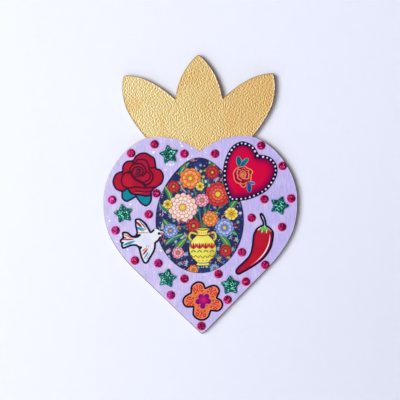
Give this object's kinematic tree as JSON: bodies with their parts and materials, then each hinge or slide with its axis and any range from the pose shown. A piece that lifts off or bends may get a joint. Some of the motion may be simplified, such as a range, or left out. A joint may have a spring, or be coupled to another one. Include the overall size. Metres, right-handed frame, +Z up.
{
  "type": "wall ornament",
  "caption": "Flat heart-shaped wall ornament with a leafy gilt crown, printed cut-outs, glitter stars and faceted stones on its face, and a sawtooth hanger behind.",
  "frame": {"origin": "middle notch of the sawtooth hanger, in the middle of the strip's thickness, where the ornament bears on the nail", "axes": "+Z up along the ornament's height, +X across it to the right as seen from the front, -Y the way the decorated face looks, +Y towards the wall"},
  "size_m": [0.1396, 0.0074, 0.2],
  "materials": {
    "painted_board": "brushed-on acrylic paint, lilac on the heart and metallic gold on the crown",
    "oval_print": "printed card under a thin satin varnish",
    "rose_print": "printed card under a thin satin varnish",
    "beaded_heart_print": "printed card under a thin satin varnish",
    "dove_print": "printed card under a thin satin varnish",
    "chili_print": "printed card under a thin satin varnish",
    "flower_print": "printed card under a thin satin varnish",
    "glitter_foam": "green foam covered with coarse glitter",
    "ruby_stone": "clear-cut acrylic stone with a foiled back",
    "hanger_strip": "stamped sheet, dull",
    "hanger_pin": "turned and tumbled"
  },
  "bodies": {
    "root": {"board": "painted_board", "oval_print": "oval_print", "rose_print": "rose_print", "beaded_heart_print": "beaded_heart_print", "dove_print": "dove_print", "chili_print": "chili_print", "flower_print": "flower_print", "star_1": "glitter_foam", "star_2": "glitter_foam", "star_3": "glitter_foam", "star_4": "glitter_foam", "star_5": "glitter_foam", "stone_1": "ruby_stone", "stone_2": "ruby_stone", "stone_3": "ruby_stone", "stone_4": "ruby_stone", "stone_5": "ruby_stone", "stone_6": "ruby_stone", "stone_7": "ruby_stone", "stone_8": "ruby_stone", "stone_9": "ruby_stone", "stone_10": "ruby_stone", "stone_11": "ruby_stone", "stone_12": "ruby_stone", "stone_13": "ruby_stone", "stone_14": "ruby_stone", "stone_15": "ruby_stone", "stone_16": "ruby_stone", "stone_17": "ruby_stone", "stone_18": "ruby_stone", "stone_19": "ruby_stone", "stone_20": "ruby_stone", "stone_21": "ruby_stone", "stone_22": "ruby_stone", "stone_23": "ruby_stone", "stone_24": "ruby_stone", "sawtooth_hanger": "hanger_strip", "hanger_pins": "hanger_pin"}
  },
  "joints": []
}
